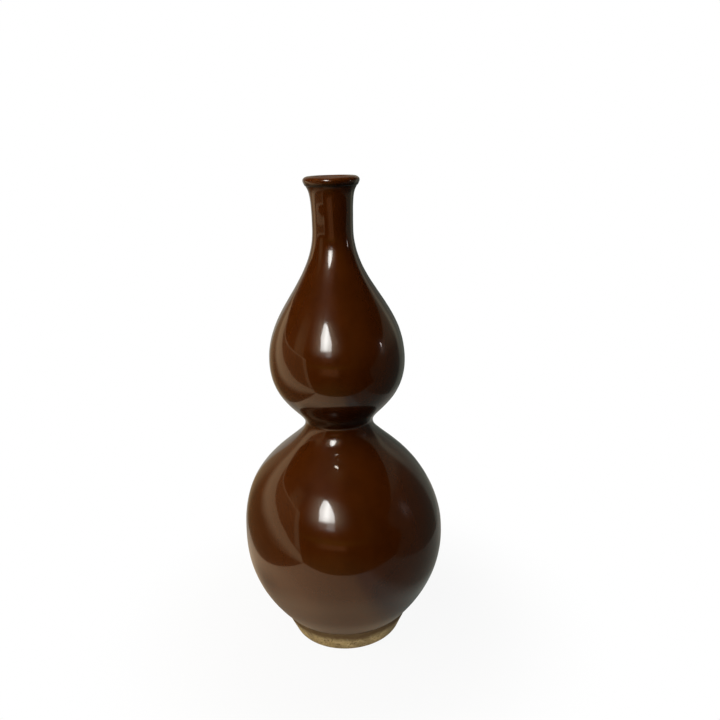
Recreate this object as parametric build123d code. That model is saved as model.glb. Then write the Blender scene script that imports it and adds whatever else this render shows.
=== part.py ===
from build123d import *
import math
import os

# Double-gourd stoneware vase, in millimetres: a wide lower bulb, a pinched waist, a pear-shaped upper
# bulb drawn up into a slim neck, and a rolled lip, all on a turned foot ring. It is thrown in four
# sections with a lip coil and a foot ring, which are luted together with slip at tongue-and-groove
# rims and then glazed. Every piece is turned about Z, and the foot stands on Z = 0.

# Foot ring
foot_radius = 35.4
foot_width = 5.9
foot_outer_round = 2.5
foot_inner_round = 1.5
recess_flare = 1.0
recess_depth = 8.0

# Outline of the finished glaze: the radius at each turning point and the rise to it from the one below
edge_radius = 43.4
edge_height = 17.5
edge_lean = 40.0
belly_radius = 65.0
belly_rise = 53.5
waist_radius = 21.7
waist_rise = 77.2
bulb_radius = 42.3
bulb_rise = 40.7
neck_radius = 12.3
neck_rise = 80.3
crease_flare = 3.2
crease_rise = 25.3
crease_lean = 38.0

# Fullness of the curves: how far each one keeps its direction at an end, as a share of its own rise
edge_fullness = 0.37
belly_lower_fullness = 0.405
belly_upper_fullness = 0.70
waist_lower_fullness = 0.195
waist_upper_fullness = 0.213
bulb_lower_fullness = 0.635
bulb_upper_fullness = 0.424
neck_lower_fullness = 0.405
neck_upper_fullness = 0.75
crease_fullness = 0.144
roll_fullness = 0.55

# Rolled lip and mouth
lip_overhang = 1.4
lip_rise = 3.0
lip_crown = 2.5
crest_inset = 3.7
mouth_depth = 16.0
mouth_roll = 3.0
mouth_flare = 8.0

# Inside: a round floor, a wall of even thickness and a straight throat shaped on a stick
wall = 5.0
floor_thickness = 7.5
floor_fullness = 0.67
side_fullness = 0.68
neck_wall = 3.4
throat_length = 22.0
throat_fullness = 0.40
shoulder_fullness = 0.45

# Glaze coats and luted seams
glaze = 0.5
lining = 0.4
slip = 0.6
slip_margin = 1.0
tongue_width = 2.4
tongue_depth = 1.6
lip_tongue_inset = 3.2


def at(radius, height):
    """A point of the turned section, by its radius from the axis and its height above the table."""
    return Vector(radius, 0, height)


def leaning(angle):
    """A unit step up the section that leans outward from the vertical by an angle in degrees."""
    return at(math.sin(math.radians(angle)), math.cos(math.radians(angle)))


up = at(0, 1)
outward = at(1, 0)

# Turning points of the outline
edge = at(edge_radius, edge_height)
belly = at(belly_radius, edge.Z + belly_rise)
waist = at(waist_radius, belly.Z + waist_rise)
bulb = at(bulb_radius, waist.Z + bulb_rise)
neck = at(neck_radius, bulb.Z + neck_rise)
crease = at(neck.X + crease_flare, neck.Z + crease_rise)
lip = at(crease.X + lip_overhang, crease.Z + lip_rise)
crest = at(lip.X - crest_inset, lip.Z + lip_crown)
throat_top = at(neck.X - glaze - neck_wall - lining, crest.Z - mouth_depth)
throat_bottom = throat_top - up * throat_length
floor_height = recess_depth + floor_thickness

# Inner corners of the foot ring, and where the clay, the glaze and the foot meet under the outside
foot_inner = at(foot_radius - foot_width, 0)
recess = at(foot_inner.X + recess_flare, recess_depth)
clay_edge = edge + leaning(edge_lean - 90) * glaze
foot_top = at(edge_radius - glaze, edge_height - slip_margin)


def parallel_pull(pull, swing, depth):
    """The pull that keeps a curve parallel when it moves inward, as its bend there tightens or opens."""
    return math.sqrt(pull**2 - swing * depth / 1.5)


def upright_curve(low, low_fullness, high, high_fullness, depth):
    """Curve that is upright at both its turning points, moved inward from the outline by a depth."""
    rise = high.Z - low.Z
    swing = low.X - high.X
    start = low - outward * depth
    end = high - outward * depth
    start_pull = parallel_pull(low_fullness * rise, swing, depth)
    end_pull = parallel_pull(high_fullness * rise, -swing, depth)
    return Bezier(start, start + up * start_pull, end - up * end_pull, end)


def lower_bulb_side(depth):
    """Outside of the lower bulb, from the glaze edge above the foot to the belly."""
    start = edge + leaning(edge_lean - 90) * depth
    end = belly - outward * depth
    start_pull = leaning(edge_lean) * edge_fullness * belly_rise
    return Bezier(start, start + start_pull, end - up * belly_lower_fullness * belly_rise, end)


def shoulder(depth):
    """Wall from the belly in to the waist."""
    return upright_curve(belly, belly_upper_fullness, waist, waist_lower_fullness, depth)


def upper_bulb_side(depth):
    """Wall from the waist out to the upper bulb."""
    return upright_curve(waist, waist_upper_fullness, bulb, bulb_lower_fullness, depth)


def neck_side(depth):
    """Outside from the upper bulb up into the neck."""
    return upright_curve(bulb, bulb_upper_fullness, neck, neck_lower_fullness, depth)


def neck_flare(depth):
    """Outside of the neck as it opens to the crease under the lip."""
    start = neck - outward * depth
    end = crease - outward * depth
    end_pull = leaning(crease_lean) * crease_fullness * crease_rise
    return Bezier(start, start + up * neck_upper_fullness * crease_rise, end - end_pull, end)


def lip_roll(depth):
    """Outside of the lip, from the crease round to the crest, as two quarter rounds."""
    start = crease - outward * depth
    middle = lip - outward * depth
    end = crest - up * depth
    under_pull = outward * roll_fullness * (middle.X - start.X)
    low_pull = up * roll_fullness * lip_rise
    high_pull = up * roll_fullness * (end.Z - middle.Z)
    crown_pull = outward * roll_fullness * (middle.X - end.X)
    under = Bezier(start, start + under_pull, middle - low_pull, middle)
    crown = Bezier(middle, middle + high_pull, end + crown_pull, end)
    return [under, crown]


def mouth(depth, coat):
    """Inside of the lip, from the crest down to the throat, under two coats of these thicknesses."""
    start = crest - up * depth
    end = throat_top + outward * coat
    return Bezier(start, start - outward * mouth_roll, end + up * mouth_flare, end)


def outside(depth):
    """The outline from the glaze edge up to the crest of the lip, moved inward by a depth."""
    sides = [lower_bulb_side(depth), shoulder(depth), upper_bulb_side(depth)]
    return sides + [neck_side(depth), neck_flare(depth)] + lip_roll(depth)


def inside(coat):
    """The hollow from the top of the throat down to the axis, under a lining of this thickness."""
    depth = glaze + wall + lining - coat
    top = throat_top + outward * coat
    bottom = throat_bottom + outward * coat
    bulb_wall = bulb - outward * depth
    belly_wall = belly - outward * depth
    centre = at(0, floor_height + lining - coat)
    throat_rise = bottom.Z - bulb_wall.Z
    bowl_rise = belly_wall.Z - centre.Z
    throat = Line(top, bottom)
    pear = Bezier(
        bottom,
        bottom - up * throat_fullness * throat_rise,
        bulb_wall + up * shoulder_fullness * throat_rise,
        bulb_wall,
    )
    bowl = Bezier(
        belly_wall,
        belly_wall - up * side_fullness * bowl_rise,
        centre + outward * floor_fullness * belly_wall.X,
        centre,
    )
    return [throat, pear, upper_bulb_side(depth), shoulder(depth), bowl]


def section(edges):
    """Flat section bounded by edges that meet end to end."""
    return Face(Wire(edges))


def clay_section():
    """All the thrown clay above the foot ring in one section, before it is cut at its seams."""
    centre = at(0, recess_depth)
    underside = Polyline(at(0, floor_height), centre, recess, clay_edge)
    return section(underside.edges() + outside(glaze) + [mouth(glaze, lining)] + inside(lining))


def seam(radius, height):
    """Band of slip across a wall, with a tongue that points down into the groove of the lower rim."""
    reach = wall + tongue_width
    top = [
        at(radius - reach, height),
        at(radius - tongue_width / 2, height),
        at(radius, height - tongue_depth),
        at(radius + tongue_width / 2, height),
        at(radius + reach, height),
    ]
    bottom = [point - up * slip for point in reversed(top)]
    return section(Polyline(*top, *bottom, close=True).edges())


def foot_ring_section():
    """Foot ring: sides that taper down to a rounded standing edge, and a top that slopes to its seat."""
    corners = [foot_top, at(foot_radius, 0), foot_inner, recess - up * slip]
    ring = section(Polyline(*corners, close=True).edges())
    outer = ring.vertices().group_by(Axis.Z)[0].sort_by(Axis.X)[-1]
    ring = ring.fillet_2d(foot_outer_round, [outer])
    inner = ring.vertices().sort_by(Axis.X)[0]
    return ring.fillet_2d(foot_inner_round, [inner])


def foot_slip_section():
    """Slip between the foot ring and the bowl, smoothed off below the edge of the glaze."""
    corners = [clay_edge, foot_top, recess - up * slip, recess]
    return section(Polyline(*corners, close=True).edges())


def outer_glaze_section():
    """Glaze over the whole outside and the lip, down to the throat, with a rolled lower edge."""
    end = Line(throat_top, throat_top + outward * lining)
    roll = TangentArc(clay_edge, edge, tangent=foot_top - clay_edge)
    return section(outside(0) + [mouth(0, 0), end, mouth(glaze, lining)] + outside(glaze) + [roll])


def inner_glaze_section():
    """Glaze lining of the throat and both bulbs."""
    end = Line(throat_top, throat_top + outward * lining)
    axis = Line(at(0, floor_height), at(0, floor_height + lining))
    return section(inside(0) + [axis] + inside(lining) + [end])


def turned(flat):
    """Solid of revolution of a section about the vase's axis."""
    return revolve(flat, Axis.Z)


clay = clay_section()
middle_of_wall = glaze + wall / 2
seams = {
    "lower_belly_slip": seam(belly.X - middle_of_wall, belly.Z + slip / 2),
    "waist_slip": seam(waist.X - middle_of_wall, waist.Z + slip / 2),
    "upper_belly_slip": seam(bulb.X - middle_of_wall, bulb.Z + slip / 2),
    "lip_slip": seam(crease.X - lip_tongue_inset, crease.Z),
}
section_names = ["lower_bowl", "lower_dome", "upper_bowl", "upper_neck", "lip_ring"]

pieces = {"foot_ring": foot_ring_section(), "foot_slip": foot_slip_section()}
for name, band in seams.items():
    pieces[name] = (clay & band).face()
    clay = clay - band
for name, thrown in zip(section_names, clay.faces().sort_by(Axis.Z)):
    pieces[name] = thrown
pieces["outer_glaze"] = outer_glaze_section()
pieces["inner_glaze"] = inner_glaze_section()

os.makedirs("parts", exist_ok=True)
for name, flat in pieces.items():
    export_step(turned(flat), f"parts/{name}.step")
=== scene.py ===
import math

import bmesh
import bpy
import numpy as np
from mathutils import Matrix

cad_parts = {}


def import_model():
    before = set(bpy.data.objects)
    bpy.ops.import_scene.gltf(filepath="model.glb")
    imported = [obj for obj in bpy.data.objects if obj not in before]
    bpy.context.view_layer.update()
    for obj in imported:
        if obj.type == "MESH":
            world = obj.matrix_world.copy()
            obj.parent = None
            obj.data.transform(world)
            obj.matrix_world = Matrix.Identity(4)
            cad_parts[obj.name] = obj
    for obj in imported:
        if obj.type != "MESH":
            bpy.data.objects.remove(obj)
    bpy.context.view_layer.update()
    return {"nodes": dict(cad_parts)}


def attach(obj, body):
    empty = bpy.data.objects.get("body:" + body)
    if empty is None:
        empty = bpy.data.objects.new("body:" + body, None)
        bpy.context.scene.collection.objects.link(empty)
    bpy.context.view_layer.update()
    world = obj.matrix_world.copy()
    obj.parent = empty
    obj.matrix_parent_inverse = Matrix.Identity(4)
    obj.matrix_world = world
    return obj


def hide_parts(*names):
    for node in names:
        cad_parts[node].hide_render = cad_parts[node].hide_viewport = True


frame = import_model()

# A brown-glazed double-gourd vase, turned about Z and standing on Z = 0, in metres. The glaze, its lining,
# the turned foot, its seam and the bowl with its floor are surfaces of their own; the other clay sections
# and the slip in their joints are the solids' own forms, leaned sideways with the hand-thrown wall.

MM = 0.001

# Coats and walls
GLAZE = 0.5 * MM
LINING = 0.4 * MM
WALL = 5.0 * MM
SLIP = 0.6 * MM
TONGUE_WIDTH = 2.4 * MM
TONGUE_DEPTH = 1.6 * MM

# Fullness of the outline's curves at their ends, as a share of each curve's rise
EDGE_FULLNESS = 0.37
BELLY_LOWER_FULLNESS = 0.405
BELLY_UPPER_FULLNESS = 0.70
WAIST_LOWER_FULLNESS = 0.195
WAIST_UPPER_FULLNESS = 0.213
BULB_LOWER_FULLNESS = 0.635
BULB_UPPER_FULLNESS = 0.424
NECK_LOWER_FULLNESS = 0.405
NECK_UPPER_FULLNESS = 0.75
CREASE_FULLNESS = 0.144
ROLL_FULLNESS = 0.55
THROAT_FULLNESS = 0.40
SHOULDER_FULLNESS = 0.45
FLOOR_FULLNESS = 0.67
SIDE_FULLNESS = 0.68
EDGE_LEAN = math.radians(40.0)
CREASE_LEAN = math.radians(38.0)

# Rolled mouth
MOUTH_ROLL = 3.0 * MM
MOUTH_FLARE = 8.0 * MM

# Foot
FOOT_OUTER_ROUND = 2.5 * MM
FOOT_INNER_ROUND = 1.5 * MM

# Lean of the thrown walls: how far, at which height, and over which spread of heights
SHOULDER_LEAN = -2.0 * MM
SHOULDER_LEAN_HEIGHT = 117.0 * MM
SHOULDER_LEAN_SPREAD = 28.0 * MM
SHOULDER_LEAN_START = 66.0 * MM
SHOULDER_LEAN_EASE = 20.0 * MM
PEAR_LEAN = -0.4 * MM
PEAR_LEAN_HEIGHT = 212.0 * MM
PEAR_LEAN_SPREAD = 45.0 * MM
SET_ON_LEAN = -1.9 * MM
SET_ON_START = 136.5 * MM
SET_ON_END = 148.0 * MM
NECK_LEAN = 1.2 * MM
NECK_LEAN_HEIGHT = 258.5 * MM
NECK_LEAN_SPREAD = 12.0 * MM

# Waves of the hand-made wall: depth, lobes round the vase, pitch up the wall and starting angle
HAND_WAVES = [
    (0.10 * MM, 2, 190.0 * MM, 0.4),
    (0.06 * MM, 3, 74.0 * MM, 2.1),
    (0.035 * MM, 5, 47.0 * MM, 4.0),
    (0.02 * MM, 1, 23.0 * MM, 1.0),
    (0.011 * MM, 1, 8.6 * MM, 0.0),
]
SWELLING = 0.22 * MM
SWELLING_HEIGHT = 112.5 * MM
SWELLING_SPREAD = 8.0 * MM

# Where the waves settle: above the glaze's lower edge, below the crest and round the belly
SETTLE_ABOVE_EDGE = 6.0 * MM
SETTLE_BELOW_CREST = 4.0 * MM
BELLY_CALM = 0.85
BELLY_CALM_SPREAD = 9.0 * MM
BELLY_TUCK = 0.07 * MM

# Glaze's lower edge: its bead, and waves along it as depth, lobes round the vase and starting angle
BEAD_PULL = 0.35
BEAD_DROP = 0.3 * MM
BEAD_SWELL = 0.16 * MM
BEAD_HEIGHT = 0.9 * MM
BEAD_SPREAD = 1.1 * MM
EDGE_WAVES = [(0.26 * MM, 3, 0.7), (0.14 * MM, 7, 2.0), (0.07 * MM, 17, 0.0)]
EDGE_WAVES_FADE = 2.5 * MM

# Groove in the glaze just above the crease
LIP_GROOVE = 0.34 * MM
LIP_GROOVE_RISE = 1.0 * MM
LIP_GROOVE_SPREAD = 1.1 * MM

# Turning grooves of the foot's side, rings of the recess floor, and the smear of the foot's slip
GROOVE_DEPTH = 0.030 * MM
GROOVE_SWING = 0.018 * MM
GROOVE_PITCH = 1.15 * MM
GROOVE_SET_IN = 0.03 * MM
RING_HEIGHT = 0.06 * MM
RING_SET_IN = 0.05 * MM
RING_PITCH = 2.3 * MM
RING_FREE_MIDDLE = 3.0 * MM
RING_FREE_EDGE = 2.0 * MM
SMEAR_DEPTH = 0.09 * MM
SMEAR_WAVES = [(0.05 * MM, 5, 1.0), (0.03 * MM, 13, 0.0)]

# Meshes: steps round the axis, corners that stay sharp, and points that count as one
TURN_STEPS = 240
TURN = np.linspace(0.0, 2 * math.pi, TURN_STEPS, endpoint=False)[None, :]
SHARP_ANGLE = math.radians(35.0)
MERGE_DISTANCE = 0.001 * MM


def at(radius, height):
    """A point of the turned section, from a radius and a height in millimetres."""
    return np.array([radius, height]) * MM


def leaning(angle):
    """A unit step up the section that leans outward from the vertical by an angle."""
    return np.array([math.sin(angle), math.cos(angle)])


OUT = np.array([1.0, 0.0])
UP = np.array([0.0, 1.0])

# Turning points of the outline, the mouth and the foot
EDGE = at(43.4, 17.5)
BELLY = at(65.0, 71.0)
WAIST = at(21.7, 148.2)
BULB = at(42.3, 188.9)
NECK = at(12.3, 269.2)
CREASE = at(15.5, 294.5)
LIP = at(16.9, 297.5)
CREST = at(13.2, 300.0)
THROAT_TOP = at(8.0, 284.0)
THROAT_BOTTOM = at(8.0, 262.0)
FLOOR = at(0.0, 15.5)
FOOT_TOP = at(42.9, 16.5)
FOOT_OUTER = at(35.4, 0.0)
FOOT_INNER = at(29.5, 0.0)
RECESS = at(30.5, 8.0)
RECESS_CENTRE = at(0.0, 8.0)
CLAY_EDGE = EDGE + leaning(EDGE_LEAN - math.pi / 2) * GLAZE


def bezier(points, steps):
    """Cubic curve: the four points weighted by the cubic Bernstein terms, at even steps from 0 to 1."""
    t = np.linspace(0.0, 1.0, steps + 1)[:, None]
    a, b, c, d = points
    return a * (1 - t) ** 3 + 3 * b * t * (1 - t) ** 2 + 3 * c * t**2 * (1 - t) + d * t**3


def straight(start, end, steps):
    """Straight run: start plus even shares of the way to the end."""
    return start + np.linspace(0.0, 1.0, steps + 1)[:, None] * (end - start)


def rounded(before, corner, after, radius, steps):
    """Fillet of a corner: a circle tangent to both sides, walked from one tangent point to the other."""
    back = (before - corner) / np.linalg.norm(before - corner)
    ahead = (after - corner) / np.linalg.norm(after - corner)
    half = math.acos(np.clip(back @ ahead, -1.0, 1.0)) / 2
    middle = corner + (back + ahead) / np.linalg.norm(back + ahead) * radius / math.sin(half)
    first = corner + back * radius / math.tan(half) - middle
    last = corner + ahead * radius / math.tan(half) - middle
    sweep = math.pi - 2 * half
    share = np.linspace(0.0, 1.0, steps + 1)[:, None]
    return middle + (first * np.sin((1 - share) * sweep) + last * np.sin(share * sweep)) / math.sin(sweep)


def joined(runs):
    """One list of section points from runs that meet end to end, without the doubled meeting points."""
    return np.concatenate([run[:-1] for run in runs[:-1]] + [runs[-1]])


def upright_curve(low, low_fullness, high, high_fullness, depth, steps):
    """Curve that is upright at both ends, moved inward by a depth. Its bend at an end has a radius of 1.5
    times the pull squared over the sideways travel, so the pulls are eased to keep the coats parallel."""
    rise = high[1] - low[1]
    swing = (low[0] - high[0]) * depth / 1.5
    start = low - OUT * depth
    end = high - OUT * depth
    start_pull = math.sqrt((low_fullness * rise) ** 2 - swing)
    end_pull = math.sqrt((high_fullness * rise) ** 2 + swing)
    return bezier([start, start + UP * start_pull, end - UP * end_pull, end], steps)


def lower_bulb_side(depth, steps):
    """Outside of the lower bulb, from the glaze edge above the foot to the belly."""
    rise = BELLY[1] - EDGE[1]
    start = EDGE + leaning(EDGE_LEAN - math.pi / 2) * depth
    end = BELLY - OUT * depth
    start_pull = leaning(EDGE_LEAN) * EDGE_FULLNESS * rise
    return bezier([start, start + start_pull, end - UP * BELLY_LOWER_FULLNESS * rise, end], steps)


def shoulder(depth, steps):
    """Wall from the belly in to the waist."""
    return upright_curve(BELLY, BELLY_UPPER_FULLNESS, WAIST, WAIST_LOWER_FULLNESS, depth, steps)


def upper_bulb_side(depth, steps):
    """Wall from the waist out to the upper bulb."""
    return upright_curve(WAIST, WAIST_UPPER_FULLNESS, BULB, BULB_LOWER_FULLNESS, depth, steps)


def neck_side(depth, steps):
    """Outside from the upper bulb up into the neck."""
    return upright_curve(BULB, BULB_UPPER_FULLNESS, NECK, NECK_LOWER_FULLNESS, depth, steps)


def neck_flare(depth, steps):
    """Outside of the neck as it opens to the crease under the lip."""
    rise = CREASE[1] - NECK[1]
    start = NECK - OUT * depth
    end = CREASE - OUT * depth
    end_pull = leaning(CREASE_LEAN) * CREASE_FULLNESS * rise
    return bezier([start, start + UP * NECK_UPPER_FULLNESS * rise, end - end_pull, end], steps)


def lip_roll(depth, steps):
    """Outside of the lip, from the crease round to the crest, as two quarter rounds."""
    start = CREASE - OUT * depth
    middle = LIP - OUT * depth
    end = CREST - UP * depth
    under_pull = OUT * ROLL_FULLNESS * (middle - start)
    low_pull = UP * ROLL_FULLNESS * (middle - start)
    high_pull = UP * ROLL_FULLNESS * (end - middle)
    crown_pull = OUT * ROLL_FULLNESS * (middle - end)
    under = bezier([start, start + under_pull, middle - low_pull, middle], steps)
    crown = bezier([middle, middle + high_pull, end + crown_pull, end], steps)
    return joined([under, crown])


def mouth(depth, coat, steps):
    """Inside of the lip, from the crest down to the throat, under coats of these thicknesses."""
    start = CREST - UP * depth
    end = THROAT_TOP + OUT * coat
    return bezier([start, start - OUT * MOUTH_ROLL, end + UP * MOUTH_FLARE, end], steps)


def outside(depth):
    """The outline at a depth in the glaze, from its lower edge up over the lip and into the mouth."""
    coat = LINING * depth / GLAZE
    return joined([
        lower_bulb_side(depth, steps=44),
        shoulder(depth, steps=60),
        upper_bulb_side(depth, steps=36),
        neck_side(depth, steps=50),
        neck_flare(depth, steps=20),
        lip_roll(depth, steps=9),
        mouth(depth, coat, steps=14),
    ])


def bowl_inside(coat, steps):
    """Inside of the lower bowl, from the belly down and round to the middle of the floor."""
    belly_wall = BELLY - OUT * (GLAZE + WALL + LINING - coat)
    centre = FLOOR + UP * (LINING - coat)
    rise = belly_wall[1] - centre[1]
    side = belly_wall - UP * SIDE_FULLNESS * rise
    return bezier([belly_wall, side, centre + OUT * FLOOR_FULLNESS * belly_wall[0], centre], steps)


def inside(coat):
    """The hollow from the top of the throat down to the axis, under a lining of this thickness."""
    depth = GLAZE + WALL + LINING - coat
    top = THROAT_TOP + OUT * coat
    bottom = THROAT_BOTTOM + OUT * coat
    bulb_wall = BULB - OUT * depth
    rise = bottom[1] - bulb_wall[1]
    throat_pull = UP * THROAT_FULLNESS * rise
    shoulder_pull = UP * SHOULDER_FULLNESS * rise
    throat = straight(top, bottom, steps=6)
    pear = bezier([bottom, bottom - throat_pull, bulb_wall + shoulder_pull, bulb_wall], steps=24)
    upper = upper_bulb_side(depth, steps=18)[::-1]
    lower = shoulder(depth, steps=28)[::-1]
    return joined([throat, pear, upper, lower, bowl_inside(coat, steps=28)])


def bell(value, middle, width):
    """Bell curve of a value round a middle."""
    return np.exp(-(((value - middle) / width) ** 2))


def step(value, start, end):
    """Smooth step of a value from 0 at the start to 1 at the end."""
    share = np.clip((value - start) / (end - start), 0.0, 1.0)
    return share * share * (3 - 2 * share)


def lean_right(height):
    """How far the thrown wall stands to the right at a height: a bell curve at the shoulder, eased in above
    the belly, and one at the pear."""
    ease = np.clip((height - SHOULDER_LEAN_START) / SHOULDER_LEAN_EASE, 0.0, 1.0)
    at_shoulder = SHOULDER_LEAN * bell(height, SHOULDER_LEAN_HEIGHT, SHOULDER_LEAN_SPREAD) * ease
    return at_shoulder + PEAR_LEAN * bell(height, PEAR_LEAN_HEIGHT, PEAR_LEAN_SPREAD)


def lean_back(height):
    """How far the thrown wall stands to the back at a height: a smooth step to the front at the waist,
    where the upper section was set on, eased out up to the crest, and a bell curve to the back at the
    neck."""
    ease = 1 - np.clip((height - SET_ON_END) / (CREST[1] - SET_ON_END), 0.0, 1.0)
    set_on = SET_ON_LEAN * step(height, SET_ON_START, SET_ON_END) * ease
    return set_on + NECK_LEAN * bell(height, NECK_LEAN_HEIGHT, NECK_LEAN_SPREAD)


def waves_round(waves):
    """Sum of sine waves round the vase, from the depth, lobes and starting angle of each."""
    return sum(depth * np.sin(lobes * TURN + start) for depth, lobes, start in waves)


def hand_wave(height):
    """Hand-made unevenness of the wall: a sum of sine waves that wind round the vase and up it, and a soft
    swelling on the front of the shoulder, a bell curve of the height."""
    total = 0.0
    for depth, lobes, pitch, start in HAND_WAVES:
        total = total + depth * np.sin(lobes * TURN + 2 * math.pi * height / pitch + start)
    front = 0.5 + 0.5 * np.cos(TURN + math.pi / 2)
    return total + SWELLING * bell(height, SWELLING_HEIGHT, SWELLING_SPREAD) * front**4


def placed(name, data):
    """An object with this data, put into the scene."""
    thing = bpy.data.objects.new(name, data)
    bpy.context.scene.collection.objects.link(thing)
    return thing


def finished_piece(name, mesh, finish, node):
    """Shades a mesh smooth between its corners and seats it on the body in place of a solid."""
    mesh.shade_smooth()
    mesh.set_sharp_from_angle(angle=SHARP_ANGLE)
    mesh.materials.clear()
    mesh.materials.append(finish)
    piece = placed(name, mesh)
    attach(piece, "root")
    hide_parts(node)


def merged(mesh):
    """Joins a mesh's points that lie on each other, which closes its poles and its loose triangles."""
    work = bmesh.new()
    work.from_mesh(mesh)
    bmesh.ops.remove_doubles(work, verts=work.verts, dist=MERGE_DISTANCE)
    work.to_mesh(mesh)
    work.free()


def grid(x, y, z):
    """Points of a grid, from coordinates that are each a row, a column, the whole grid or one number."""
    return np.stack(np.broadcast_arrays(x, y, z), axis=-1)


def mesh_of(name, points, corners):
    """A mesh from a grid of points and four arrays that hold the corners of its faces."""
    faces = np.stack(corners, axis=-1).reshape(-1, 4)
    mesh = bpy.data.meshes.new(name)
    mesh.from_pydata(points.reshape(-1, 3), [], faces.tolist())
    return mesh


def turned(name, section, swell=0.0, rise=0.0):
    """A section carried round the axis: at each turn angle a point lies at its radius plus the swell and
    at its height plus the rise, and leans with the wall. A section that starts off the axis is a closed
    loop."""
    radius = section[:, :1] + swell
    height = section[:, 1:] + rise
    x = radius * np.cos(TURN) + lean_right(height)
    y = radius * np.sin(TURN) + lean_back(height)
    rows = len(section)
    starts_on_axis = section[0, 0] == 0.0
    low = np.arange(rows - 1 if starts_on_axis else rows)[:, None]
    high = (low + 1) % rows
    left = np.arange(TURN_STEPS)[None, :]
    right = (left + 1) % TURN_STEPS
    corners = [(low, left), (low, right), (high, right), (high, left)]
    mesh = mesh_of(name, grid(x, y, height), [row * TURN_STEPS + column for row, column in corners])
    merged(mesh)
    return mesh


def glaze_coat(finish):
    """Glaze over the outside, the lip and the mouth. The outer side takes the hand-made waves, which settle
    at both ends and round the belly. The groove under the lip and the bead at the lower edge are bell
    curves of the height, and the edge wanders up and down along the clay as sine waves round the vase."""
    outer = outside(0.0)
    inner = outside(GLAZE)[::-2]
    bead_pull = CLAY_EDGE + (FOOT_TOP - CLAY_EDGE) * BEAD_PULL
    bead = bezier([CLAY_EDGE, bead_pull, EDGE - UP * BEAD_DROP, EDGE], steps=6)
    section = np.concatenate([outer, inner, bead[1:-1]])
    is_outer = (np.arange(len(section)) < len(outer))[:, None]
    height = section[:, 1:]
    above_edge = height - EDGE[1]
    settle = np.clip(above_edge / SETTLE_ABOVE_EDGE, 0.0, 1.0)
    settle = settle * np.clip((CREST[1] - height) / SETTLE_BELOW_CREST, 0.0, 1.0)
    widest = bell(height, BELLY[1], BELLY_CALM_SPREAD)
    wave = hand_wave(height) * (1 - BELLY_CALM * widest) - BELLY_TUCK * widest
    swell = np.where(is_outer, wave * settle, 0.0)
    bead_swell = BEAD_SWELL * bell(above_edge, BEAD_HEIGHT, BEAD_SPREAD)
    lip_groove = LIP_GROOVE * bell(height, CREASE[1] + LIP_GROOVE_RISE, LIP_GROOVE_SPREAD)
    swell = swell + np.where(is_outer & (section[:, :1] > NECK[0]), bead_swell - lip_groove, 0.0)
    wander = waves_round(EDGE_WAVES) * np.exp(-np.clip(above_edge, 0.0, None) / EDGE_WAVES_FADE)
    swell = swell + wander * math.sin(EDGE_LEAN)
    mesh = turned("glaze_coat", section, swell, wander * math.cos(EDGE_LEAN))
    finished_piece("glaze_coat", mesh, finish, "outer_glaze")


def glaze_lining(finish):
    """Glaze lining of the throat and both bulbs, from the axis out to the throat and back."""
    section = np.concatenate([inside(LINING)[::-1], inside(0.0)])
    mesh = turned("glaze_lining", section)
    finished_piece("glaze_lining", mesh, finish, "inner_glaze")


def turned_foot(finish):
    """Foot ring with a tapered side and rounded standing edges. Its outer side has the fine grooves of the
    turning tool: a sine wave up the side that wanders, and whose depth comes and goes round the foot."""
    inner_top = RECESS - UP * SLIP
    standing = rounded(FOOT_INNER, FOOT_OUTER, FOOT_TOP, FOOT_OUTER_ROUND, steps=10)
    inner_edge = rounded(inner_top, FOOT_INNER, FOOT_OUTER, FOOT_INNER_ROUND, steps=8)
    side = straight(standing[-1], FOOT_TOP, steps=56)
    seat = straight(FOOT_TOP, inner_top, steps=8)
    recess_side = straight(inner_top, inner_edge[0], steps=8)
    base = straight(inner_edge[-1], standing[0], steps=4)
    section = joined([standing, side, seat, recess_side, inner_edge, base])[:-1]
    first_side = len(standing) - 1
    row = np.arange(len(section))[:, None]
    on_side = (row > first_side) & (row < first_side + len(side) - 1)
    height = section[:, 1:]
    up = height / MM
    depth = GROOVE_DEPTH + GROOVE_SWING * np.sin(2 * TURN + 0.8 * up)
    wave = np.sin(2 * math.pi * height / GROOVE_PITCH + 0.5 * np.sin(TURN) + 0.9 * np.sin(up))
    swell = np.where(on_side, depth * wave - GROOVE_SET_IN, 0.0)
    mesh = turned("turned_foot", section, swell)
    finished_piece("turned_foot", mesh, finish, "foot_ring")


def foot_seam(finish):
    """Slip between the foot ring and the bowl: a thin sloping band, bare where it meets the outside. Its
    face is smeared in, by a half sine wave up it times sine waves round it."""
    inner_low = RECESS - UP * SLIP
    face = straight(FOOT_TOP, CLAY_EDGE, steps=6)
    top = straight(CLAY_EDGE, RECESS, steps=8)
    inner = straight(RECESS, inner_low, steps=2)
    bottom = straight(inner_low, FOOT_TOP, steps=8)
    section = joined([face, top, inner, bottom])[:-1]
    along = (np.arange(len(section)) / (len(face) - 1))[:, None]
    smear = np.where(along < 1.0, np.sin(math.pi * along), 0.0)
    mesh = turned("foot_seam", section, -smear * (SMEAR_DEPTH + waves_round(SMEAR_WAVES)))
    finished_piece("foot_seam", mesh, finish, "foot_slip")


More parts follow.
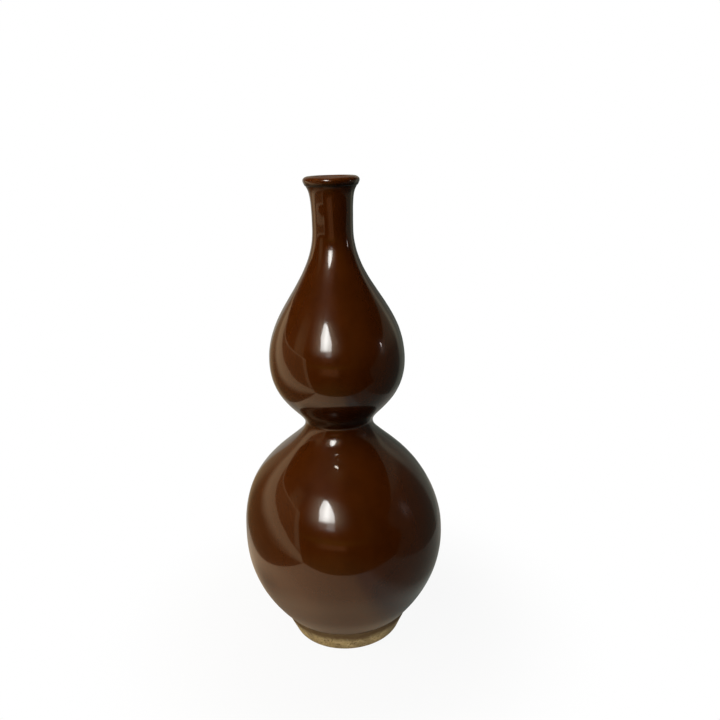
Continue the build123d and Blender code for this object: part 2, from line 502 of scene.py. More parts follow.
def bowl_with_floor(finish):
    """Lower bowl: the recess floor with the rings of the turning tool, which are a sine wave of the radius,
    then the seat of the foot, the wall, the grooved rim and the inside."""
    rim = BELLY[1] - SLIP / 2
    tongue = BELLY[0] - GLAZE - WALL / 2
    recess_floor = straight(RECESS_CENTRE, RECESS, steps=60)
    radius = recess_floor[:, 0]
    rings = RING_HEIGHT * np.sin(2 * math.pi * radius / RING_PITCH) - RING_SET_IN
    from_middle = np.clip(radius / RING_FREE_MIDDLE, 0.0, 1.0)
    from_side = np.clip((RECESS[0] - radius) / RING_FREE_EDGE, 0.0, 1.0)
    recess_floor[:, 1] -= rings * from_middle * from_side
    seat = straight(RECESS, CLAY_EDGE, steps=8)[1:-1]
    side = lower_bulb_side(GLAZE, steps=40)
    groove = np.array([
        [tongue + TONGUE_WIDTH / 2, rim],
        [tongue, rim - TONGUE_DEPTH],
        [tongue - TONGUE_WIDTH / 2, rim],
    ])
    section = np.concatenate([recess_floor, seat, side, groove, bowl_inside(LINING, steps=40)])
    section[:, 1] = np.minimum(section[:, 1], rim)
    mesh = turned("bowl_with_floor", section)
    finished_piece("bowl_with_floor", mesh, finish, "lower_bowl")


def leaned_copy(node, finish):
    """A clay section or slip band as it is in the solids, moved sideways with the lean of the wall."""
    mesh = frame["nodes"][node].data.copy()
    merged(mesh)
    places = np.empty(len(mesh.vertices) * 3)
    mesh.vertices.foreach_get("co", places)
    places = places.reshape(-1, 3)
    places[:, 0] += lean_right(places[:, 2])
    places[:, 1] += lean_back(places[:, 2])
    mesh.vertices.foreach_set("co", places.ravel())
    finished_piece("thrown_" + node, mesh, finish, node)


class Value:
    """A shader value that takes part in Python arithmetic: each operation adds one Math node."""

    def __init__(self, recipe, socket):
        self.recipe = recipe
        self.socket = socket

    def math(self, operation, first, second):
        """Math node on two values or numbers."""
        return self.recipe.node("ShaderNodeMath", {"operation": operation}, {0: first, 1: second})

    def __add__(self, other):
        return self.math("ADD", self, other)

    def __radd__(self, other):
        return self.math("ADD", other, self)

    def __sub__(self, other):
        return self.math("SUBTRACT", self, other)

    def __rsub__(self, other):
        return self.math("SUBTRACT", other, self)

    def __mul__(self, other):
        return self.math("MULTIPLY", self, other)

    def __rmul__(self, other):
        return self.math("MULTIPLY", other, self)


class Recipe:
    """The nodes of one finish, built from the top down."""

    def __init__(self, tree):
        self.tree = tree
        tree.nodes.clear()

    def node(self, kind, settings=None, sockets=None, output=0):
        """Adds a node: its settings first, then a value or a link for each named socket."""
        made = self.tree.nodes.new(kind)
        for key, value in (settings or {}).items():
            setattr(made, key, value)
        for key, value in (sockets or {}).items():
            if isinstance(value, Value):
                self.tree.links.new(value.socket, made.inputs[key])
            else:
                made.inputs[key].default_value = value
        return Value(self, made.outputs[output])

    def place(self):
        """Place on the object, in metres."""
        return self.node("ShaderNodeTexCoord", output="Object")

    def axis(self, letter):
        """One coordinate of the place on the object."""
        return self.node("ShaderNodeSeparateXYZ", None, {0: self.place()}, letter)

    def distance(self, point):
        """Distance of the place on the object from a point."""
        sockets = {0: self.place(), 1: point}
        return self.node("ShaderNodeVectorMath", {"operation": "DISTANCE"}, sockets, "Value")

    def ray(self, kind):
        """1 for rays of this kind and 0 for others."""
        return self.node("ShaderNodeLightPath", output="Is " + kind + " Ray")

    def noise(self, scale, detail):
        """Soft noise between 0 and 1, with its scale in cells per metre."""
        sockets = {"Vector": self.place(), "Scale": scale, "Detail": detail}
        return self.node("ShaderNodeTexNoise", None, sockets)

    def streaks(self, around, along, detail):
        """Soft noise between 0 and 1, with cells per metre round the vase and along its height."""
        sockets = {"Vector": self.place(), "Scale": (around, around, along)}
        place = self.node("ShaderNodeMapping", None, sockets)
        return self.node("ShaderNodeTexNoise", None, {"Vector": place, "Scale": 1.0, "Detail": detail})

    def fade(self, value, start, end):
        """0 before the start and 1 past the end, with a smooth change between them."""
        sockets = {"Value": value, "From Min": start, "From Max": end}
        return self.node("ShaderNodeMapRange", {"interpolation_type": "SMOOTHSTEP"}, sockets)

    def blend(self, share, first, second):
        """Mixes two colours by a share of the second. A Mix node has its colours at inputs 6 and 7 and the
        mixed one at output 2."""
        return self.node("ShaderNodeMix", {"data_type": "RGBA"}, {0: share, 6: first, 7: second}, 2)

    def bump(self, height, distance, normal=None):
        """Relief of a height between 0 and 1 times a distance in metres."""
        sockets = {"Height": height, "Distance": distance, "Strength": 1.0}
        if normal:
            sockets["Normal"] = normal
        return self.node("ShaderNodeBump", None, sockets)

    def glow(self, colour):
        """Shader that shines with a colour."""
        return self.node("ShaderNodeEmission", None, {"Color": colour})

    def either(self, share, first, second):
        """Mixes two shaders by a share of the second."""
        return self.node("ShaderNodeMixShader", None, {0: share, 1: first, 2: second})

    def surface(self, shader, kind="ShaderNodeOutputMaterial"):
        """Ends the recipe with this shader as the surface."""
        end = self.tree.nodes.new(kind)
        self.tree.links.new(shader.socket, end.inputs["Surface"])


def new_finish(name):
    """An empty material and its recipe."""
    material = bpy.data.materials.new(name)
    material.use_nodes = True
    return material, Recipe(material.node_tree)


def rgb(red, green, blue):
    """A linear colour with full opacity."""
    return (red, green, blue, 1.0)


def brown_glaze_finish():
    """Glossy iron-brown glaze: clouded and faintly streaked colour, darker where it pools above the foot,
    with painted shade in the waist, stronger on the right, and in the groove under the lip, rust where
    it runs thin over the crest, under a clear gloss with fine pits that is dull under the lip."""
    material, mix = new_finish("brown_glaze")
    deep_brown = rgb(0.048, 0.0096, 0.0003)
    warm_brown = rgb(0.062, 0.0130, 0.0005)
    speck_brown = rgb(0.016, 0.004, 0.001)
    foot_brown = rgb(0.020, 0.0055, 0.001)
    painted_waist_shade = rgb(0.006, 0.0012, 0.0004)
    painted_groove_shade = rgb(0.006, 0.0016, 0.0004)
    rust = rgb(0.13, 0.035, 0.006)
    height = mix.axis("Z")
    clouds = mix.noise(scale=48.0, detail=4.0)
    streaks = mix.streaks(around=150.0, along=16.0, detail=3.0)
    specks = mix.fade(mix.noise(scale=900.0, detail=2.0), 0.62, 0.78)
    tone = 0.65 * clouds + 0.35 * streaks
    colour = mix.blend(mix.fade(tone, 0.3, 0.7), deep_brown, warm_brown)
    colour = mix.blend(0.35 * specks, colour, speck_brown)
    pooled = 1 - mix.fade(height, EDGE[1] + 0.2 * MM, EDGE[1] + 5.0 * MM)
    colour = mix.blend(0.55 * pooled, colour, foot_brown)
    # Painted shade in the waist under the upper bulb, stronger towards the right.
    waist_shade_mask = mix.fade(height, WAIST[1] + 0.5 * MM, WAIST[1] + 4.0 * MM)
    waist_shade_mask = waist_shade_mask - mix.fade(height, WAIST[1] + 12.0 * MM, WAIST[1] + 27.0 * MM)
    waist_shade_mask = waist_shade_mask * (0.75 + 0.22 * mix.fade(mix.axis("X"), -8.0 * MM, 12.0 * MM))
    colour = mix.blend(waist_shade_mask, colour, painted_waist_shade)
    past_groove = mix.fade(height, CREASE[1] + 0.8 * MM, CREASE[1] + 2.2 * MM)
    # Painted shade in the groove under the lip, nearly black.
    under_lip_shade = mix.fade(height, CREASE[1] - 1.2 * MM, CREASE[1] + 0.2 * MM) - past_groove
    colour = mix.blend(0.85 * under_lip_shade, colour, painted_groove_shade)
    dull = mix.fade(height, CREASE[1] - 5.0 * MM, CREASE[1] - 1.0 * MM) - past_groove
    crest = mix.fade(height, LIP[1] - 1.0 * MM, CREST[1])
    colour = mix.blend(0.35 * crest, colour, rust)
    peel = mix.noise(scale=300.0, detail=2.0)
    pits = mix.fade(mix.noise(scale=600.0, detail=0.0), 0.62, 0.80)
    shader = mix.node("ShaderNodeBsdfPrincipled", None, {
        "Base Color": colour,
        "Roughness": 0.18 + 0.06 * clouds,
        "Normal": mix.bump(1 - pits, 0.02 * MM, mix.bump(peel, 0.005 * MM)),
        "Specular IOR Level": 0.14,
        "Coat Weight": 0.84 - 0.70 * dull,
        "Coat Roughness": 0.03,
        "Coat IOR": 1.52,
    })
    mix.surface(shader)
    return material


def lining_glaze_finish():
    """Thinner glaze inside: a lighter, streakier brown with less gloss."""
    material, mix = new_finish("lining_glaze")
    deep_brown = rgb(0.060, 0.016, 0.003)
    light_brown = rgb(0.105, 0.034, 0.008)
    clouds = mix.noise(scale=60.0, detail=4.0)
    tone = 0.5 * clouds + 0.5 * mix.streaks(around=260.0, along=22.0, detail=3.0)
    shader = mix.node("ShaderNodeBsdfPrincipled", None, {
        "Base Color": mix.blend(mix.fade(tone, 0.3, 0.7), deep_brown, light_brown),
        "Roughness": 0.2 + 0.15 * clouds,
        "Normal": mix.bump(mix.noise(scale=420.0, detail=2.0), 0.02 * MM),
        "Coat Weight": 0.6,
        "Coat Roughness": 0.08,
    })
    mix.surface(shader)
    return material


def bare_clay_finish():
    """Bare fired clay: buff with warm clouds and darker scorched patches, with painted grey shade on the
    right, turned streaks, dark and pale grit and a sandy grain, soiled along the standing edge, and stained
    rust brown with painted shade just below the glaze."""
    material, mix = new_finish("bare_clay")
    buff = rgb(0.43, 0.310, 0.135)
    warm_buff = rgb(0.58, 0.440, 0.220)
    scorch_brown = rgb(0.17, 0.118, 0.050)
    painted_shade_grey = rgb(0.17, 0.155, 0.105)
    streak_brown = rgb(0.30, 0.200, 0.085)
    dark_grit = rgb(0.110, 0.070, 0.032)
    pale_grit = rgb(0.74, 0.62, 0.44)
    soil_brown = rgb(0.15, 0.115, 0.065)
    rust_and_shade_brown = rgb(0.088, 0.043, 0.010)
    height = mix.axis("Z")
    clouds = mix.noise(scale=70.0, detail=4.0)
    streaks = mix.streaks(around=60.0, along=900.0, detail=4.0)
    grit = mix.noise(scale=800.0, detail=2.0)
    scorch = mix.fade(mix.noise(scale=150.0, detail=3.0), 0.46, 0.64)
    colour = mix.blend(mix.fade(clouds, 0.3, 0.7), buff, warm_buff)
    colour = mix.blend(0.55 * scorch, colour, scorch_brown)
    # Painted shade: the clay greys and darkens towards the right.
    colour = mix.blend(0.55 * mix.fade(mix.axis("X"), 14.0 * MM, 34.0 * MM), colour, painted_shade_grey)
    colour = mix.blend(0.5 * mix.fade(streaks, 0.45, 0.75), colour, streak_brown)
    colour = mix.blend(0.85 * mix.fade(grit, 0.55, 0.66), colour, dark_grit)
    colour = mix.blend(0.5 * mix.fade(1 - grit, 0.60, 0.74), colour, pale_grit)
    soiled = 1 - mix.fade(height, 0.5 * MM, 4.5 * MM)
    colour = mix.blend(0.45 * soiled, colour, soil_brown)
    # Rust stain and painted shade under the glaze's edge: the top of the foot darkens to rust brown.
    stain_and_shade = mix.fade(height + 6.0 * MM * clouds, 11.2 * MM, 17.0 * MM)
    colour = mix.blend(0.9 * stain_and_shade, colour, rust_and_shade_brown)
    shader = mix.node("ShaderNodeBsdfPrincipled", None, {
        "Base Color": colour,
        "Roughness": 0.72 + 0.2 * grit,
        "Normal": mix.bump(grit, 0.12 * MM, mix.bump(streaks, 0.08 * MM)),
        "Specular IOR Level": 0.35,
    })
    mix.surface(shader)
    return material


def luting_slip_finish():
    """Fired slip: dark brown, smeared along the joint, half matt, with fine grit."""
    material, mix = new_finish("luting_slip")
    dark_brown = rgb(0.060, 0.030, 0.010)
    pale_brown = rgb(0.140, 0.080, 0.032)
    dark_grit = rgb(0.035, 0.018, 0.008)
    smears = mix.streaks(around=110.0, along=700.0, detail=3.0)
    grit = mix.noise(scale=1500.0, detail=2.0)
    colour = mix.blend(mix.fade(smears, 0.3, 0.7), dark_brown, pale_brown)
    colour = mix.blend(0.5 * mix.fade(grit, 0.58, 0.7), colour, dark_grit)
    shader = mix.node("ShaderNodeBsdfPrincipled", None, {
        "Base Color": colour,
        "Roughness": 0.5 + 0.25 * smears,
        "Normal": mix.bump(grit, 0.08 * MM),
    })
    mix.surface(shader)
    return material


def vase():
    """All the pieces of the vase with their finishes."""
    brown_glaze = brown_glaze_finish()
    bare_clay = bare_clay_finish()
    luting_slip = luting_slip_finish()
    glaze_coat(brown_glaze)
    glaze_lining(lining_glaze_finish())
    turned_foot(bare_clay)
    foot_seam(luting_slip)
    bowl_with_floor(bare_clay)
    for node in ["lower_dome", "upper_bowl", "upper_neck", "lip_ring"]:
        leaned_copy(node, bare_clay)
    for node in ["lower_belly_slip", "waist_slip", "upper_belly_slip", "lip_slip"]:
        leaned_copy(node, luting_slip)


# Studio: the height that its parts face, the floor, the table's front edge and the dark round the table
STUDIO_HEIGHT = 0.16
FLOOR_RADIUS = 6.0
TABLE_EDGE = -0.195
GROUND_LIFT = 0.4 * MM
DARK = 0.004

# Cloths on three sides of the table
CLOTH_BACK = 0.31
LEFT_CLOTH_PLACE = -0.165
LEFT_CLOTH_LEAN = 0.065 / 0.21
LEFT_CLOTH_FRONT = -0.19
LEFT_CLOTH_TOP = 0.248
RIGHT_CLOTH_PLACE = 0.20
RIGHT_CLOTH_FRONT = -0.17
RIGHT_CLOTH_JUT = 0.045
RIGHT_CLOTH_TOP = 0.33
BACK_CLOTH_LEFT = -0.25
BACK_CLOTH_RIGHT = 0.21
BACK_CLOTH_TOP = 0.34

# Pale fold of the left cloth: where its line starts, how it climbs and bends up, and half its width
FOLD_FRONT = -0.165
FOLD_HEIGHT = 0.03
FOLD_SLOPE = 0.65
FOLD_BEND = 2.2
FOLD_BEND_FRONT = -0.005
FOLD_HALF = 0.016
FOLD_HALF_FRONT = -0.20
FOLD_WIDENING = 0.18

# Distances of the curtain, the window and the room's dome
CURTAIN_DISTANCE = 1.2
WINDOW_DISTANCE = 3.6
ROOM_RADIUS = 4.0

# Curtain, window and the haze round the window, in degrees seen from the vase
CURTAIN_MIDDLE = -70.0
CURTAIN_FADE_START = 22.9
CURTAIN_FADE_END = 40.1
WINDOW_LEFT = -27.5
WINDOW_RIGHT = -8.3
WINDOW_MIDDLE = -19.0
WINDOW_FOOT = 23.0
WINDOW_TOP = 45.0
WINDOW_DROP = 1.0
PEAK_START = 26.0
PEAK_BEND = 0.03
HAZE_LEFT = -29.0
HAZE_FOOT = 24.0
HAZE_SPREAD = 10.0

# Colours of the boards and the lamps, as linear red, green and blue
LEFT_CLOTH_SHADE = (0.15, 0.09, 0.04)
LEFT_CLOTH_CREAM = (1.05, 0.76, 0.44)
RIGHT_CLOTH_GREY = (1.0, 1.05, 0.88)
RIGHT_CLOTH_WARM = (1.05, 0.96, 0.65)
BACK_CLOTH_WARM = (0.46, 0.43, 0.36)
BACK_CLOTH_DIM = (0.11, 0.125, 0.11)
CURTAIN_YELLOW = (2.6, 1.9, 0.9)
WINDOW_WHITE = (0.98, 1.0, 0.98)
HAZE_CREAM = (1.0, 0.95, 0.66)
FRONT_GLOW = (0.20, 0.165, 0.02)
WALL_GLOW = (0.30, 0.25, 0.18)
CEILING_GLOW = (0.8, 0.65, 0.5)
GROUND_YELLOW = (0.14, 0.11, 0.03)
GROUND_BROWN = (0.50, 0.22, 0.10)
DAYLIGHT = (1.0, 0.985, 0.95)
LEFT_FILL_CREAM = (1.0, 0.9, 0.76)
BACK_FILL_WHITE = (1.0, 0.97, 0.92)
SPOT_YELLOW = (1.0, 0.93, 0.8)
SLIM_PINK = (1.0, 0.90, 0.88)


def toward(azimuth, elevation, distance):
    """Places seen from the vase at a distance, at an azimuth from the viewer's side round to the right and
    an elevation, both in degrees."""
    around = np.radians(azimuth)
    tilt = np.radians(elevation)
    flat = distance * np.cos(tilt)
    return grid(flat * np.sin(around), -flat * np.cos(around), STUDIO_HEIGHT + distance * np.sin(tilt))


def cells(name, points):
    """A mesh with a face in each cell of a grid of points."""
    index = np.arange(points.shape[0] * points.shape[1]).reshape(points.shape[:2])
    return mesh_of(name, points, [index[:-1, :-1], index[:-1, 1:], index[1:, 1:], index[1:, :-1]])


def tinted(level, colour):
    """A level at each point of a grid times a colour."""
    return level[..., None] * np.array(colour)


def only_in_gloss(thing):
    """Shows a studio board in reflections only, so that it neither lights nor hides anything."""
    thing.visible_camera = False
    thing.visible_diffuse = False
    thing.visible_shadow = False
    thing.visible_transmission = False
    thing.visible_volume_scatter = False


def board_finish():
    """Glow of the boards: the colour that each point of a board carries."""
    material, mix = new_finish("board_glow")
    mix.surface(mix.glow(mix.node("ShaderNodeAttribute", {"attribute_name": "glow"})))
    return material


def board(name, points, glow, finish):
    """A board as a grid of points with a colour at each, seen in reflections only: a glowing sheet whose
    colours are painted reflections, with painted light and shade in their pale and dark patches.
    """
    mesh = cells(name, points)
    colours = np.concatenate([glow, np.ones(points.shape[:2] + (1,))], axis=2)
    mesh.attributes.new("glow", "FLOAT_COLOR", "POINT").data.foreach_set("color", colours.ravel())
    mesh.materials.append(finish)
    thing = placed(name, mesh)
    only_in_gloss(thing)


def left_cloth(finish):
    """Pale cloth on the left: it leans out, its top rises towards the back by a smooth step, and a pale
    fold climbs along it from the lower front corner, a widening band round a line that bends up as a
    parabola. Its front and top hems, a crease under the fold and its far end are paler too."""
    up = np.linspace(0.0, 1.0, 90)[:, None]
    back = np.linspace(0.0, 1.0, 140)[None, :]
    front = LEFT_CLOTH_FRONT - 0.01 * up
    y = front + (CLOTH_BACK - front) * back
    z = up * (LEFT_CLOTH_TOP + 0.13 * np.minimum(y, 0.0) + 0.07 * step(y, 0.0, 0.17))
    x = LEFT_CLOTH_PLACE - LEFT_CLOTH_LEAN * z
    line = FOLD_HEIGHT + FOLD_SLOPE * (y - FOLD_FRONT)
    line = line + FOLD_BEND * np.clip(y - FOLD_BEND_FRONT, 0.0, None) ** 2
    half = FOLD_HALF + FOLD_WIDENING * (y - FOLD_HALF_FRONT)
    fold = step(z, line - 1.3 * half, line - 0.2 * half)
    fold = fold * (1 - step(z, line + 0.78 * half, line + 0.9 * half))
    fold = fold * (1 - 0.6 * step(y, 0.20, 0.28))
    front_hem = (1 - step(y, -0.168, -0.162)) * step(z, 0.03, 0.06)
    top_hem = step(up, 0.965, 0.975)
    crease = bell(z, 0.5 * line, 0.0022) * (1 - step(y, -0.06, -0.02))
    above = step(z, line, line + 0.03)
    far = step(y, 0.10, 0.2)
    # Painted light on the cloth: its lit fold, hems, crease and far end.
    pale = fold + 0.42 * (front_hem + 1.6 * top_hem) + 0.2 * crease + 0.08 * above + 0.2 * far
    pale = np.clip(pale, 0.0, 1.0)
    glow = tinted(1 - pale, LEFT_CLOTH_SHADE) + tinted(pale, LEFT_CLOTH_CREAM)
    board("left_cloth", grid(x, y, z), glow, finish)


def right_cloth(finish):
    """Dim cloth on the right: its front edge juts out at mid height as a bell curve, its top rises to the
    back, its far end is paler, and a soft warm light lies along its top."""
    up = np.linspace(0.0, 1.0, 60)[:, None]
    back = np.linspace(0.0, 1.0, 120)[None, :]
    front = RIGHT_CLOTH_FRONT + RIGHT_CLOTH_JUT * bell(up, 0.45, 0.25)
    y = front + (CLOTH_BACK - front) * back
    z = up * np.minimum(0.163 + 0.62 * (y + 0.165), RIGHT_CLOTH_TOP)
    far = step(y, 0.09, 0.125)
    warm = far * step(z, 0.13, 0.26) * (1 - step(y, 0.14, 0.185))
    warm = warm + 0.45 * step(z, 0.19, 0.24) * (1 - far)
    glow = tinted(0.06 + 0.11 * far, RIGHT_CLOTH_GREY) + tinted(0.24 * warm, RIGHT_CLOTH_WARM)
    board("right_cloth", grid(RIGHT_CLOTH_PLACE, y, z), glow, finish)


def back_cloth(finish):
    """Plain cloth behind the vase, warmer on the left and dimmer on the right."""
    x = np.linspace(BACK_CLOTH_LEFT, BACK_CLOTH_RIGHT, 40)[None, :]
    z = np.linspace(0.0, BACK_CLOTH_TOP, 20)[:, None]
    points = grid(x, CLOTH_BACK, z)
    side = step(points[..., 0], -0.2, 0.15)
    glow = tinted(1 - side, BACK_CLOTH_WARM) + tinted(side, BACK_CLOTH_DIM)
    board("back_cloth", points, glow, finish)


def far_curtain(finish):
    """Narrow pale curtain further off on the left, above the cloth: palest at its middle, as a bell curve
    of the azimuth, and dimmer towards its top."""
    azimuth = np.linspace(-78.0, -57.0, 30)[None, :]
    elevation = np.linspace(2.0, 42.0, 20)[:, None]
    level = 0.10 + 0.05 * bell(azimuth, CURTAIN_MIDDLE, 6.0)
    level = level * (1 - 0.5 * step(elevation, CURTAIN_FADE_START, CURTAIN_FADE_END))
    points = toward(azimuth, elevation, CURTAIN_DISTANCE)
    board("far_curtain", points, tinted(level, CURTAIN_YELLOW), finish)


def window_pane(finish):
    """Tall bright window to the left of the camera: its right edge bends in to a peak at the top, a bright
    strip runs up its middle, its foot is soft, and a haze round it falls off as a bell curve."""
    azimuth = np.linspace(-58.0, 24.0, 180)[None, :]
    elevation = np.linspace(3.0, 66.0, 150)[:, None]
    lowered = elevation - WINDOW_DROP
    right = WINDOW_RIGHT - PEAK_BEND * np.clip(elevation - PEAK_START, 0.0, None) ** 2
    left = WINDOW_LEFT - 2.0 * bell(elevation, 36.0, 7.0)
    across = step(azimuth, left - 1.5, left + 1.0) * (1 - step(azimuth, right - 1.5, right + 1.2))
    tail = (0.03 + 0.17 * step(azimuth, -20.0, -14.0)) * step(elevation, 11.0, 16.0)
    tall = np.maximum(step(elevation, WINDOW_FOOT - 4.5, WINDOW_FOOT), tail)
    tall = tall * (1 - step(elevation, WINDOW_TOP, WINDOW_TOP + 3.5))
    strip = 13.0 + 8.0 * bell(azimuth, WINDOW_MIDDLE, 5.0)
    pane = strip * across * tall * (0.75 + 0.25 * step(elevation, 20.0, 30.0))
    beside = np.maximum(np.maximum(HAZE_LEFT - azimuth, azimuth - right), 0.0)
    beside = beside * np.cos(np.radians(lowered))
    above = np.maximum(np.maximum(HAZE_FOOT - elevation, 1.8 * (elevation - WINDOW_TOP)), 0.0)
    haze = 1.1 * bell(np.hypot(beside, 1.4 * above), 0.0, HAZE_SPREAD)
    glow = tinted(pane, WINDOW_WHITE) + tinted(haze, HAZE_CREAM)
    board("window_pane", toward(azimuth, lowered, WINDOW_DISTANCE), glow, finish)


def dark_dome(finish):
    """Dark room as a dome, with a faint glow in front and a warm wall and ceiling behind, each a bell curve
    of the elevation."""
    azimuth = np.linspace(-180.0, 180.0, 73)[None, :]
    elevation = np.linspace(-8.0, 90.0, 40)[:, None]
    before = bell(azimuth, -15.0, 30.0) * bell(elevation, 20.0, 50.0)
    behind = step(np.abs(azimuth), 122.0, 152.0)
    wall = behind * bell(elevation, 15.0, 25.0)
    ceiling = behind * bell(elevation, 75.0, 22.0)
    glow = tinted(before, FRONT_GLOW) + tinted(wall, WALL_GLOW) + tinted(ceiling, CEILING_GLOW)
    board("dark_dome", toward(azimuth, elevation, ROOM_RADIUS), DARK + glow, finish)


def dark_ground(finish):
    """Dark ground of the room in front of the table's edge: warm beside the edge, as bell curves, and brown
    further off, in a wedge between two slants."""
    x = ROOM_RADIUS * np.linspace(-1.0, 1.0, 41)[None, :] ** 3
    y = TABLE_EDGE - ROOM_RADIUS * np.linspace(0.0, 1.0, 30)[:, None] ** 3
    slant = x / y
    by_table = bell(x, -0.08, 0.15) * bell(y, TABLE_EDGE, 0.3)
    far_off = (1 - step(y, -0.95, -0.65)) * step(slant, -0.09, 0.02) * (1 - step(slant, 0.40, 0.60))
    glow = tinted(by_table, GROUND_YELLOW) + tinted(far_off, GROUND_BROWN)
    board("dark_ground", grid(x, y, GROUND_LIFT), DARK + glow, finish)


def floor_finish():
    """Pale floor, greyer to the right as painted shade. Lamps light it and the vase shades it; the camera
    also sees a white glow, full away from the vase. Close to the vase it glows for diffuse rays as a
    painted bounce light, stronger on the right. Gloss sees a cream table that greys to the back and, as
    painted shade, to the right, with painted shade on the left and a painted shadow ring at the foot."""
    material, mix = new_finish("pale_floor")
    white = rgb(1.0, 1.0, 1.0)
    cream_paper = rgb(0.78, 0.74, 0.66)
    pale_paper = rgb(0.86, 0.82, 0.74)
    grey_paper = rgb(0.34, 0.34, 0.33)
    past_table = rgb(0.03, 0.03, 0.03)
    left_bounce_glow = rgb(0.20, 0.16, 0.10)
    right_bounce_glow = rgb(1.05, 0.98, 0.82)
    cream_table = rgb(1.16, 0.81, 0.49)
    dull_table = rgb(0.46, 0.39, 0.28)
    grey_table = rgb(0.28, 0.31, 0.28)
    right_table = rgb(0.13, 0.14, 0.12)
    back_table = rgb(0.26, 0.25, 0.22)
    shade = rgb(0.02, 0.02, 0.02)
    x = mix.axis("X")
    y = mix.axis("Y")
    from_vase = mix.distance((0.0, 0.0, 0.0))
    from_shade_patch = mix.distance((-0.09, 0.0, 0.0))
    side = mix.fade(x, -0.17, 0.13)
    on_table = mix.fade(y, TABLE_EDGE - 0.01, TABLE_EDGE + 0.01)

    grain = mix.fade(mix.noise(scale=900.0, detail=3.0), 0.2, 0.8)
    # Painted shade: the floor's colour greys towards the right.
    paper = mix.blend(side, mix.blend(grain, cream_paper, pale_paper), grey_paper)
    paper = mix.blend(on_table * (1 - 0.65 * mix.fade(from_vase, 0.12, 0.30)), past_table, paper)
    lit = mix.node("ShaderNodeBsdfDiffuse", None, {"Color": paper})
    # Painted bounce light: close to the vase the floor glows for diffuse rays.
    near = mix.ray("Diffuse") * on_table * (0.6 - 0.6 * mix.fade(from_vase, 0.09, 0.2))
    lit = mix.either(near, lit, mix.glow(mix.blend(side, left_bounce_glow, right_bounce_glow)))

    white_share = 0.93 + 0.07 * mix.fade(from_vase, 0.07, 0.18)
    to_camera = (mix.ray("Camera") + mix.ray("Transmission")) * white_share
    seen = mix.either(to_camera, lit, mix.glow(white))

    table = mix.blend(side, cream_table, dull_table)
    # Painted shade: the table seen in gloss greys and darkens to the right.
    table = mix.blend(mix.fade(x, 0.015, 0.05), table, grey_table)
    table = mix.blend(mix.fade(x, 0.06, 0.10), table, right_table)
    table = mix.blend(0.85 * mix.fade(y, -0.04, 0.14), table, back_table)
    # Painted shade on the left and a painted shadow ring round the foot, in the table seen in gloss.
    table = mix.blend(0.68 - 0.68 * mix.fade(from_shade_patch, 0.0, 0.09), table, shade)
    table = mix.blend(0.6 - 0.6 * mix.fade(from_vase, 0.045, 0.085), table, shade)
    mix.surface(mix.either(mix.ray("Glossy"), seen, mix.glow(table)))
    return material


def studio_floor():
    """Floor disc: rings of points at radii that grow with the square of the ring's number."""
    turn = np.linspace(2 * math.pi, 0.0, 97)[None, :]
    radius = FLOOR_RADIUS * np.linspace(0.0, 1.0, 13)[:, None] ** 2
    mesh = cells("studio_floor", grid(radius * np.cos(turn), radius * np.sin(turn), 0.0))
    merged(mesh)
    mesh.materials.append(floor_finish())
    floor = placed("studio_floor", mesh)


def area_lamp(name, seen_at, size, brightness, colour=DAYLIGHT, in_gloss=False):
    """Oblong lamp aimed at the vase, seen from there at an azimuth, an elevation and a distance; its power
    is its brightness times pi times its area."""
    azimuth, elevation, distance = seen_at
    width, height = size
    data = bpy.data.lights.new(name, "AREA")
    data.shape = "RECTANGLE"
    data.size = width
    data.size_y = height
    data.energy = brightness * math.pi * width * height
    data.color = colour
    lamp = placed(name, data)
    turn = Matrix.Rotation(math.radians(azimuth), 4, "Z")
    dip = Matrix.Rotation(math.radians(90.0 - elevation), 4, "X")
    lamp.matrix_world = Matrix.Translation(toward(azimuth, elevation, distance)) @ turn @ dip
    lamp.visible_glossy = in_gloss


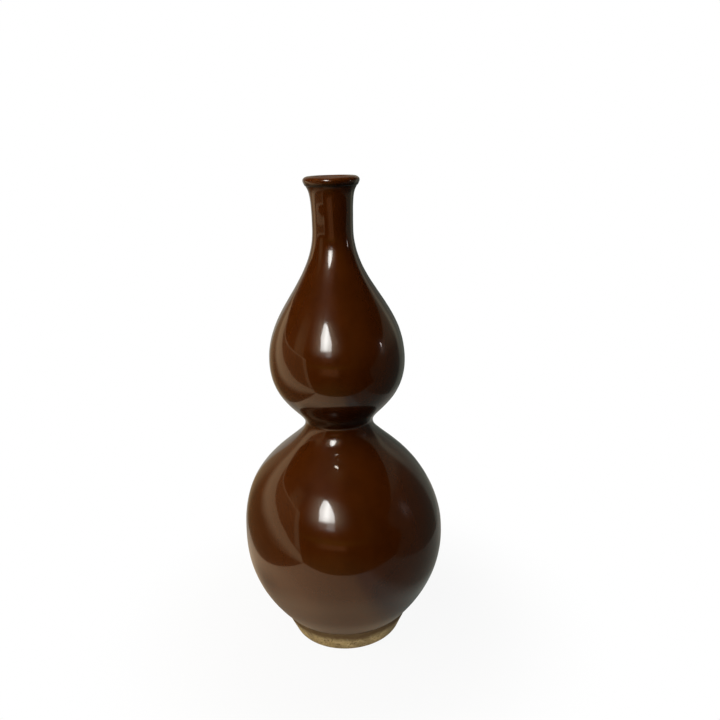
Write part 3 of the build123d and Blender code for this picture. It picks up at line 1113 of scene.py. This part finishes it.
def lamps():
    """Tall window to the left of the camera, broad light from the ceiling, from the left and from behind,
    and two small lamps that show in the gloss: a ceiling spot and a slim lamp on the right."""
    area_lamp("window", (-26.0, 32.0, 1.6), size=(0.53, 0.80), brightness=7.4)
    area_lamp("ceiling", (-42.0, 62.0, 1.4), size=(1.0, 1.0), brightness=3.2)
    area_lamp("left_fill", (-75.0, 24.0, 0.9), size=(0.6, 0.5), brightness=2.6, colour=LEFT_FILL_CREAM)
    area_lamp("back_fill", (162.0, 12.0, 1.2), size=(0.8, 0.6), brightness=3.4, colour=BACK_FILL_WHITE)
    area_lamp("ceiling_spot", (-12.5, 72.2, 1.6), (0.12, 0.018), 21.0, SPOT_YELLOW, in_gloss=True)
    area_lamp("right_slim", (82.0, 10.0, 1.2), (0.03, 0.16), 15.0, SLIM_PINK, in_gloss=True)


def world():
    """White where the camera, gloss or glass looks past the floor, and a dim grey light elsewhere."""
    scene_world = bpy.data.worlds.new("studio")
    bpy.context.scene.world = scene_world
    scene_world.use_nodes = True
    mix = Recipe(scene_world.node_tree)
    seen = mix.ray("Camera") + mix.ray("Glossy") + mix.ray("Transmission")
    dim = mix.node("ShaderNodeBackground", None, {"Color": rgb(0.95, 0.97, 1.0), "Strength": 0.025})
    white = mix.node("ShaderNodeBackground", None, {"Color": rgb(1.0, 1.0, 1.0), "Strength": 1.0})
    mix.surface(mix.either(seen, dim, white), "ShaderNodeOutputWorld")


def studio():
    """Floor, boards, lamps and world."""
    glow = board_finish()
    studio_floor()
    left_cloth(glow)
    right_cloth(glow)
    back_cloth(glow)
    far_curtain(glow)
    window_pane(glow)
    dark_dome(glow)
    dark_ground(glow)
    lamps()
    world()


# Camera: just above the lip and about one and a half vase heights away, tipped down
CAMERA_PLACE = (0.0, -0.4368, 0.3155)
CAMERA_TURN = 0.0319
CAMERA_DIP = 0.2863
CAMERA_ROLL = -0.0292
FOCAL_PIXELS = 722.86
PHOTO_WIDTH = 720
SENSOR = 36.0
NEAREST = 0.01


def camera():
    """Camera at the photograph's place, its lens from the focal length in pixels of the square picture."""
    data = bpy.data.cameras.new("camera")
    data.sensor_width = SENSOR
    data.lens = SENSOR * FOCAL_PIXELS / PHOTO_WIDTH
    data.clip_start = NEAREST
    eye = placed("camera", data)
    turn = Matrix.Rotation(-CAMERA_TURN, 4, "Z")
    dip = Matrix.Rotation(math.pi / 2 - CAMERA_DIP, 4, "X")
    roll = Matrix.Rotation(CAMERA_ROLL, 4, "Z")
    eye.matrix_world = Matrix.Translation(CAMERA_PLACE) @ turn @ dip @ roll
    bpy.context.scene.camera = eye


vase()
studio()
camera()
bpy.context.scene.view_settings.view_transform = "Standard"
bpy.context.view_layer.update()
